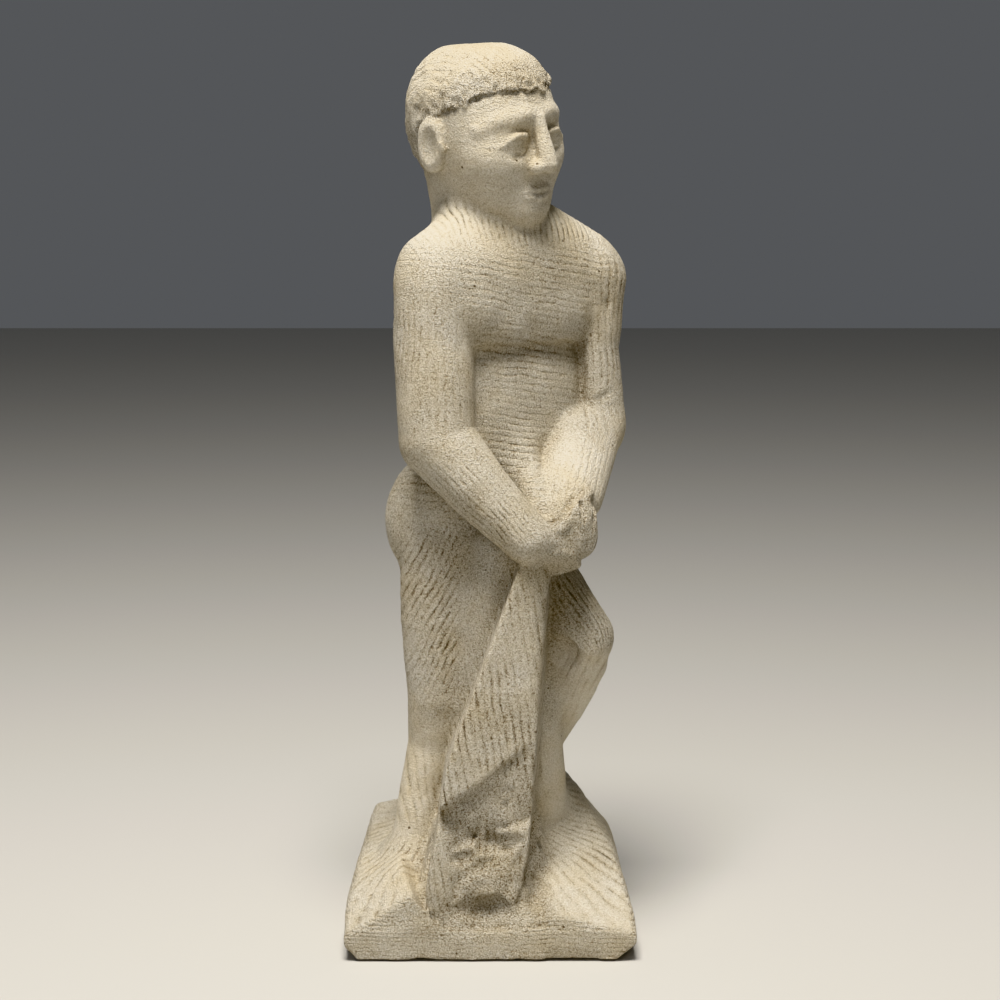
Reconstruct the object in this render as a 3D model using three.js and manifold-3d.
// A standing nude man carved from one block of pale limestone, 600 mm high with the block that he
// stands on. He bows a little, turned towards the corner of the block, and both hands meet on top of
// a club that stands in front of him. His left knee is bent and pushed forward, and the stone
// between his limbs was never cut away, so the whole carving is a single solid.
//
// The form is a field, negative inside the stone, built up from round limbs and masses that melt
// into each other. A lattice that narrows with the figure is laid over it and skinned.
// Millimetres, +Z up, the middle of the underside at the origin, and the block's front towards -Y.
import * as THREE from "three";
import { mergeVertices } from "three/addons/utils/BufferGeometryUtils.js";
import Module from "manifold-3d";

const wasm = await Module();
wasm.setup();

// Driving dimensions
const HEIGHT = 600;
const HEAD_HEIGHT = 121;
const BASE_WIDTH = 193;
const BASE_DEPTH = 184;
const SHOULDER_SPAN = 126;

// How far each part of him is turned from the front of the block towards its corner, in degrees
const PELVIS_TURN = 45;
const BELLY_TURN = 40;
const CHEST_TURN = 38;
const HEAD_TURN = 48;

// How far the head is bowed, and how far it leans towards his right shoulder
const HEAD_BOW = 8;
const HEAD_LEAN = 7;

// Fineness of the skin: lattice columns each way, and the step between levels, closer at the head
const COLUMNS = 22;
const BODY_STEP = 9.4;
const HEAD_STEP = 5.8;
const NECK_LEVEL = 460;

const radians = THREE.MathUtils.degToRad;
const lerp = THREE.MathUtils.lerp;

// A part's own axes: side is towards his left, front is the way he faces, up is towards the crown.
function axesAt(origin, turn, bow = 0, lean = 0) {
  const euler = new THREE.Euler(radians(bow), radians(-lean), radians(turn), "ZYX");
  const matrix = new THREE.Matrix4().makeRotationFromEuler(euler);
  matrix.setPosition(...origin);
  const vector = (side, front, up) => new THREE.Vector3(side, -front, up);
  return {
    matrix,
    at: (side, front, up) => vector(side, front, up).applyMatrix4(matrix),
    along: (side, front, up) => vector(side, front, up).transformDirection(matrix).toArray(),
  };
}

// Field of a limb: round sections of given radii along a line of joints.
function limb(...joints) {
  const bones = joints.slice(1).map(([end, endRadius], i) => {
    const [start, startRadius] = joints[i];
    const line = end.clone().sub(start);
    return { start, line, lengthSquared: line.lengthSq(), startRadius, endRadius };
  });
  return (x, y, z) => {
    let nearest = Infinity;
    for (const { start, line, lengthSquared, startRadius, endRadius } of bones) {
      const dx = x - start.x;
      const dy = y - start.y;
      const dz = z - start.z;
      const along = (dx * line.x + dy * line.y + dz * line.z) / lengthSquared;
      const share = Math.min(1, Math.max(0, along));
      const ex = dx - share * line.x;
      const ey = dy - share * line.y;
      const ez = dz - share * line.z;
      const gap = Math.hypot(ex, ey, ez) - lerp(startRadius, endRadius, share);
      nearest = Math.min(nearest, gap);
    }
    return nearest;
  };
}

// Field of a rounded mass with radii along the side, front and up of its axes: an ellipsoid where
// square is 2, and more and more of a rounded box as square grows.
function mass(axes, [side, front, up], radii, square = 2) {
  const centre = axes.at(side, front, up);
  const e = axes.matrix.elements;
  const sides = [0, 4, 8].map((n) => [e[n], e[n + 1], e[n + 2]]);
  return (x, y, z) => {
    const away = [x - centre.x, y - centre.y, z - centre.z];
    const parts = sides.map((axis, i) => {
      const along = axis[0] * away[0] + axis[1] * away[1] + axis[2] * away[2];
      return Math.abs(along) / radii[i];
    });
    const size = parts.reduce((sum, part) => sum + part ** square, 0) ** (1 / square);
    if (size < 1e-6) {
      return -Math.min(...radii);
    }
    const steep = Math.hypot(...parts.map((part, i) => (part / size) ** (square - 1) / radii[i]));
    return (size - 1) / steep;
  };
}

// Field of the stone behind a flat cut through a point, with the normal pointing out of the stone.
function behind(point, normal) {
  const n = new THREE.Vector3(...normal).normalize();
  const offset = n.dot(point);
  return (x, y, z) => n.x * x + n.y * y + n.z * z - offset;
}

// Joins fields; where two meet, the corner is filled with a curve about as wide as melt.
function join(melt, ...fields) {
  return (x, y, z) =>
    fields.reduce((sum, field) => meltMin(sum, field(x, y, z), melt), Infinity);
}

function meltMin(a, b, melt) {
  if (a === Infinity) {
    return b;
  }
  const overlap = Math.max(0, melt - Math.abs(a - b)) / melt;
  return Math.min(a, b) - (overlap * overlap * melt) / 4;
}

// Keeps only what is in every field, with the edges rounded.
function within(round, ...fields) {
  return (x, y, z) =>
    -fields.reduce((sum, field) => meltMin(sum, -field(x, y, z), round), Infinity);
}

// Takes hollows out of a field.
function hollow(melt, field, ...hollows) {
  return within(melt, field, ...hollows.map((cut) => (x, y, z) => -cut(x, y, z)));
}

// The block's axes and his own: through the hips, the chest and the middle of the skull
const SKULL_LEVEL = HEIGHT - 0.455 * HEAD_HEIGHT;
const BLOCK = axesAt([0, 0, 0], 0);
const PELVIS = axesAt([-14, 12, 290], PELVIS_TURN);
const BELLY = axesAt([11, 9, 350], BELLY_TURN);
const CHEST = axesAt([12, 3, 420], CHEST_TURN);
const HEAD = axesAt([-3, 3, SKULL_LEVEL], HEAD_TURN, HEAD_BOW, HEAD_LEAN);

// The block: sawn upright sides, and a top cut down from his feet in sloping flats.
function block() {
  const frontEdge = -BASE_DEPTH / 2;
  const backEdge = BASE_DEPTH / 2;
  const edge = BASE_WIDTH / 2;
  const sides = [
    [[0, frontEdge, 0], [0, -1, 0]],
    [[0, backEdge, 0], [0, 1, 0.1]],
    [[-edge, 0, 0], [-1, 0, 0]],
    [[-edge, -40, 30], [-1, 0.04, 0.25]],
    [[edge, 0, 14], [1, 0.03, 0.27]],
    [[edge, 0, 0], [1, 0, 0]],
    [[0, 0, 0], [0, 0, -1]],
    // the lower corners at the front are knocked off
    [[-edge, frontEdge, 11], [-1, -0.3, -0.9]],
    [[edge, frontEdge, 12], [0.8, -0.3, -1]],
  ];
  // a flat through a point, given how much it rises for each mm to the right and to the back
  const flat = (point, riseRight, riseBack) => [point, [-riseRight, -riseBack, 1]];
  const leftFlat = flat([-96, -52, 40], 0.5, 0.1);
  const rightFlat = flat([82, 40, 54], -1.4, -0.1);
  const rightFoot = cutFlat(
    ...sides,
    leftFlat,
    flat([-96, frontEdge, 17], 0.64, 0.57),
    flat([-51, frontEdge, 46], -1, 0.1),
    flat([-60, backEdge, 56], 0, -0.3),
  );
  const leftFoot = cutFlat(
    ...sides,
    rightFlat,
    flat([41, frontEdge, 33], -0.28, 0.43),
    flat([41, frontEdge, 33], 0.34, 0.42),
    flat([0, backEdge, 46], 0, -1.4),
  );
  const floor = cutFlat(
    ...sides,
    leftFlat,
    rightFlat,
    flat([0, frontEdge, 21], 0, 0.35),
    flat([0, backEdge, 46], 0, -0.4),
  );
  const brokenBank = cutFlat(
    ...sides,
    flat([-20, frontEdge, 25], -0.08, 1.3),
    [[-38, -80, 46], [-1, 0, 0.3]],
    [[26, -80, 36], [1, -0.5, 0.5]],
    [[0, 0, 84], [0, 0, 1]],
    [[0, -20, 0], [0, 1, 0]],
  );
  return rightFoot.add(leftFoot).add(floor).add(brokenBank);
}

// The club: narrow under his hands and widening downwards. A sharp ridge runs down its near left side,
// between a narrow flank and a flat face that turns away to the right. Its foot is broken rough.
function club() {
  const blockFront = [[0, 1 - BASE_DEPTH / 2, 0], [0, -1, 0]];
  const shaft = cutFlat(
    blockFront,
    [[-10, -81, 150], [0.28, -1, 0.03]],
    [[13, -75, 245], [-1, 0, 0.37]],
    [[-36, -84, 90], [-1, 0, 0.16]],
    [[38, -60, 240], [1, -0.1, -0.06]],
    [[0, -16, 200], [0, 1, 0]],
    [[0, 0, 256], [0, 0, 1]],
    [[0, 0, 12], [0, 0, -1]],
  );
  const brokenFoot = cutFlat(
    blockFront,
    [[0, -90, 40], [0.2, -1, 0.1]],
    [[-19, -80, 40], [-1, -0.6, 0.3]],
    [[22, -80, 40], [1, -0.5, 0.2]],
    [[0, -86, 62], [-0.2, -0.7, 1]],
    [[0, -30, 40], [0, 1, 0]],
    [[0, 0, 12], [0, 0, -1]],
  );
  return shaft.add(brokenFoot);
}

// His right leg is straight; the left one is bent, with the knee forward. Stone is left between them.
function legs() {
  const point = (x, y, z) => new THREE.Vector3(x, y, z);
  const right = limb(
    [point(-28, -2, 262), 34],
    [point(-31, -8, 215), 31],
    [point(-32, -12, 162), 25],
    [point(-35, -8, 128), 22],
    [point(-45, -12, 96), 18],
    [point(-47, -14, 50), 22],
  );
  const left = limb(
    [point(10, 28, 262), 34],
    [point(60, -12, 202), 24],
    [point(58, -6, 190), 23],
    [point(45, 18, 150), 21],
    [point(32, 41, 108), 13],
    [point(34, 33, 70), 14],
  );
  const web = limb(
    [point(14, -26, 262), 28],
    [point(2, -22, 230), 28],
    [point(0, -20, 150), 26],
    [point(0, 0, 40), 34],
  );
  const webLeft = limb([point(24, 6, 230), 30], [point(24, 0, 150), 25], [point(20, 20, 40), 36]);
  const mounds = [
    mass(BLOCK, [38, -40, 60], [34, 40, 34]),
    mass(BLOCK, [-50, 10, 44], [30, 36, 24]),
  ];
  return join(10, right, left, join(14, web, webLeft), ...mounds);
}

// A broad flat chest that ends below in a ledge, a square waist, and sloping shoulders.
function torso() {
  const chest = within(
    6,
    mass(CHEST, [0, -3, 12], [59, 33, 56], 3),
    behind(CHEST.at(0, 30, -19), CHEST.along(0, 0.3, -1)),
  );
  const breast = [-1, 1].map((s) => mass(CHEST, [s * 28, 15, 14], [31, 16, 33], 2.8));
  const rightArmpit = mass(CHEST, [-44, 8, 8], [24, 24, 28]);
  const blades = [-1, 1].map((s) => mass(CHEST, [s * 28, -24, 12], [27, 15, 38]));
  const belly = mass(BELLY, [0, 0, 0], [56, 32, 68], 3);
  const hips = mass(PELVIS, [2, -2, 0], [54, 38, 42], 2.4);
  const buttocks = [-1, 1].map((s) => mass(PELVIS, [s * 27, -17, -10], [28, 26, 38]));
  const neck = limb([CHEST.at(-8, -12, 40), 34], [HEAD.at(0, -14, -34), 30]);
  const slope = (side, round) => limb([CHEST.at(-4, -12, 62), 24], [CHEST.at(side, -2, 28), round]);
  return join(
    10,
    join(14, belly, hips, neck, rightArmpit, ...blades, slope(-56, 30), slope(56, 32)),
    join(8, chest, join(10, ...breast)),
    join(10, ...buttocks),
  );
}

// His right arm crosses over the belly, and the left hand lies on top of the right one.
function arms() {
  const halfSpan = SHOULDER_SPAN / 2;
  const right = limb(
    [CHEST.at(2 - halfSpan, 0, 18), 28],
    [CHEST.at(-1 - halfSpan, 2, -20), 27],
    [CHEST.at(-3 - halfSpan, 8, -80), 26],
    [new THREE.Vector3(-10, -54, 312), 22],
    [new THREE.Vector3(24, -63, 277), 17],
  );
  const rightHand = mass(PELVIS, [-7, 84, -31], [16, 19, 13], 2.4);
  const left = limb(
    [CHEST.at(2 + halfSpan, 4, 22), 28],
    [CHEST.at(halfSpan, 4, -25), 25],
    [CHEST.at(halfSpan + 2, 10, -78), 24],
    [new THREE.Vector3(58, -28, 300), 18],
  );
  const leftInside = limb(
    [new THREE.Vector3(57, 8, 337), 18],
    [new THREE.Vector3(46, -22, 300), 20],
  );
  const leftHand = mass(PELVIS, [6, 93, -9], [16, 17, 22], 2.3);
  const hands = join(3, rightHand, leftHand);
  return join(4, right, join(10, left, leftInside), hands);
}

// A plain head: the face is one rounded mass with a brow and a nose, and the hair is a raised cap that
// ends in a step above the forehead and behind the ears.
function head() {
  const skull = mass(HEAD, [0, -3, 5], [43, 49, 48], 2.3);
  const face = mass(HEAD, [0, 16, -20], [36, 35, 43], 2.4);
  const brow = mass(HEAD, [0, 38, 13], [32, 13, 8]);
  const nose = limb([HEAD.at(0, 47, 6), 5], [HEAD.at(0, 53, -14), 7]);
  const sockets = [-1, 1].map((s) => mass(HEAD, [s * 19, 56, 0], [13, 10, 10]));
  const chin = mass(HEAD, [0, 36, -50], [16, 14, 11]);
  const ears = [-1, 1].map((s) => mass(HEAD, [s * 43, -6, -4], [7, 11, 18]));
  const cap = mass(HEAD, [0, -4, 6], [46, 53, 51], 2.25);
  const above = behind(HEAD.at(0, 50, 28), HEAD.along(0, 0.3, -1));
  const rear = within(
    2,
    behind(HEAD.at(0, -10, 0), HEAD.along(0, 1, 0)),
    behind(HEAD.at(0, -10, -38), HEAD.along(0, 0, -1)),
  );
  const hair = within(4, cap, join(3, above, rear));
  const flesh = join(4, hollow(5, join(10, skull, face, brow, chin), ...sockets), nose);
  const flatCrown = behind(new THREE.Vector3(16, 0, HEIGHT), [-0.03, -0.05, 1]);
  return within(6, join(2, flesh, hair, ...ears), flatCrown);
}

const figure = within(
  2,
  join(6, torso(), head(), arms(), legs()),
  behind(new THREE.Vector3(0, 0, 12), [0, 0, -1]),
);

// The lattice: one level for each step in height, as wide and as deep as the figure is there.
const LOWEST = 4;
const LEVELS = [
  { up: LOWEST, middle: [4, -4], half: [98, 98] },
  { up: 450, middle: [4, -4], half: [98, 96] },
  { up: 490, middle: [0, 4], half: [76, 78] },
  { up: 520, middle: [-2, 4], half: [66, 72] },
  { up: 2 * HEIGHT, middle: [-2, 4], half: [66, 72] },
];

function latticeHeights() {
  const heights = [];
  for (let up = LOWEST; up < HEIGHT + 2 * BODY_STEP; ) {
    heights.push(up);
    up += up < NECK_LEVEL ? BODY_STEP : HEAD_STEP;
  }
  return heights;
}

function levelAt(up) {
  const above = Math.max(1, LEVELS.findIndex((level) => level.up >= up));
  const [low, high] = [LEVELS[above - 1], LEVELS[above]];
  const share = THREE.MathUtils.smoothstep(up, low.up, high.up);
  const mix = (key) => low[key].map((value, i) => lerp(value, high[key][i], share));
  return { up, middle: mix("middle"), half: mix("half") };
}

// Skins a field: each lattice cell that the surface passes through gets one vertex, which is drawn onto
// the surface, and each lattice edge that it crosses gets a face between the four cells around it.
function skin(field) {
  const levels = latticeHeights().map(levelAt);
  const count = [COLUMNS, COLUMNS, levels.length];
  const stride = [1, COLUMNS, COLUMNS * COLUMNS];
  const nodes = [];
  for (const { up, middle, half } of levels) {
    for (let j = 0; j < COLUMNS; j++) {
      for (let i = 0; i < COLUMNS; i++) {
        const x = middle[0] + half[0] * ((2 * i) / (COLUMNS - 1) - 1);
        const y = middle[1] + half[1] * ((2 * j) / (COLUMNS - 1) - 1);
        const place = [i, j, Math.floor(nodes.length / stride[2])];
        nodes.push({ place, at: new THREE.Vector3(x, y, up), value: field(x, y, up) });
      }
    }
  }
  fillTouching(nodes, count, stride);

  const corners = [0, 1, 2, 3, 4, 5, 6, 7].map((n) => [n & 1, (n >> 1) & 1, n >> 2]);
  const cornerSteps = corners.map((corner) => corner.reduce((sum, c, axis) => sum + c * stride[axis], 0));
  const vertices = [];
  const vertexOf = new Map();
  nodes.forEach(({ place }, index) => {
    if (place.some((p, axis) => p === count[axis] - 1)) {
      return;
    }
    const crossings = [];
    cornerSteps.forEach((step, n) => {
      for (const axis of [0, 1, 2]) {
        const a = nodes[index + step];
        const b = corners[n][axis] ? a : nodes[index + step + stride[axis]];
        if (a.value < 0 !== b.value < 0) {
          crossings.push(a.at.clone().lerp(b.at, a.value / (a.value - b.value)));
        }
      }
    });
    if (crossings.length) {
      const mean = crossings.reduce((sum, point) => sum.add(point)).divideScalar(crossings.length);
      vertexOf.set(index, vertices.length);
      vertices.push(drawnOnto(field, mean));
    }
  });

  const faces = [];
  nodes.forEach(({ place, value }, index) => {
    for (const [axis, u, v] of [[0, 1, 2], [1, 2, 0], [2, 0, 1]]) {
      if (place[axis] === count[axis] - 1 || value < 0 === nodes[index + stride[axis]].value < 0) {
        continue;
      }
      const quad = [index - stride[u] - stride[v], index - stride[v], index, index - stride[u]];
      const ring = quad.map((cell) => vertexOf.get(cell));
      const [a, b, c, d] = value < 0 ? ring : ring.reverse();
      // the square is folded along the diagonal that lies closer to the surface
      const [offOne, offOther] = [[a, c], [b, d]].map(([from, to]) => {
        const middle = vertices[from].clone().lerp(vertices[to], 0.5);
        return Math.abs(field(middle.x, middle.y, middle.z));
      });
      faces.push(...(offOne < offOther ? [a, b, c, a, c, d] : [a, b, d, b, c, d]));
    }
  });
  return { vertices, faces };
}

// Where two hollows would touch only corner to corner, one of the corners is left as stone.
function fillTouching(nodes, count, stride) {
  for (let changed = true; changed; ) {
    changed = false;
    nodes.forEach(({ place }, index) => {
      for (const [u, v] of [[0, 1], [1, 2], [2, 0]]) {
        if (place[u] === count[u] - 1 || place[v] === count[v] - 1) {
          continue;
        }
        const ring = [0, stride[u], stride[u] + stride[v], stride[v]].map((step) => nodes[index + step]);
        const open = ring.filter((node) => node.value >= 0);
        if (open.length === 2 && ring.indexOf(open[1]) - ring.indexOf(open[0]) === 2) {
          open.sort((a, b) => a.value - b.value);
          open[0].value = -0.01;
          changed = true;
        }
      }
    });
  }
}

// Moves a point along the field's slope, in three short steps, until it lies on the surface.
function drawnOnto(field, point) {
  const nudge = 0.2;
  const longest = 2.5;
  for (let round = 0; round < 3; round++) {
    const { x, y, z } = point;
    const gap = field(x, y, z);
    const slope = new THREE.Vector3(
      field(x + nudge, y, z) - field(x - nudge, y, z),
      field(x, y + nudge, z) - field(x, y - nudge, z),
      field(x, y, z + nudge) - field(x, y, z - nudge),
    ).divideScalar(2 * nudge);
    const step = THREE.MathUtils.clamp(gap / Math.max(0.3, slope.length()), -longest, longest);
    point.addScaledVector(slope.normalize(), -step);
  }
  return point;
}

function solidOf({ vertices, faces }) {
  return new wasm.Manifold(
    new wasm.Mesh({
      numProp: 3,
      vertProperties: new Float32Array(vertices.flatMap((v) => v.toArray())),
      triVerts: new Uint32Array(faces),
    }),
  );
}

function geometryOf(solid) {
  const mesh = solid.getMesh();
  const geometry = new THREE.BufferGeometry();
  geometry.setAttribute("position", new THREE.BufferAttribute(mesh.vertProperties, 3));
  geometry.setIndex(new THREE.BufferAttribute(mesh.triVerts, 1));
  geometry.computeVertexNormals();
  return geometry;
}

function solidFrom(geometry) {
  geometry.deleteAttribute("normal");
  geometry.deleteAttribute("uv");
  const merged = mergeVertices(geometry);
  return new wasm.Manifold(
    new wasm.Mesh({
      numProp: 3,
      vertProperties: merged.attributes.position.array,
      triVerts: new Uint32Array(merged.index.array),
    }),
  );
}

// Stone that is left behind every one of a set of flat cuts, each given by a point and an outward normal.
function cutFlat(...cuts) {
  const reach = 600;
  const up = new THREE.Vector3(0, 0, 1);
  const halves = cuts.map(([point, normal]) => {
    const turn = new THREE.Quaternion().setFromUnitVectors(up, new THREE.Vector3(...normal).normalize());
    const half = new THREE.BoxGeometry(reach, reach, reach).translate(0, 0, -reach / 2);
    return solidFrom(half.applyQuaternion(turn).translate(...point));
  });
  return halves.reduce((left, half) => left.intersect(half));
}

const limestone = new THREE.MeshStandardMaterial({ color: "#b9ab90", roughness: 0.95, metalness: 0 });
const carving = new THREE.Mesh(geometryOf(block().add(club()).add(solidOf(skin(figure)))), limestone);
carving.name = "carved_figure";

const group = new THREE.Group();
group.add(carving);
export default group;
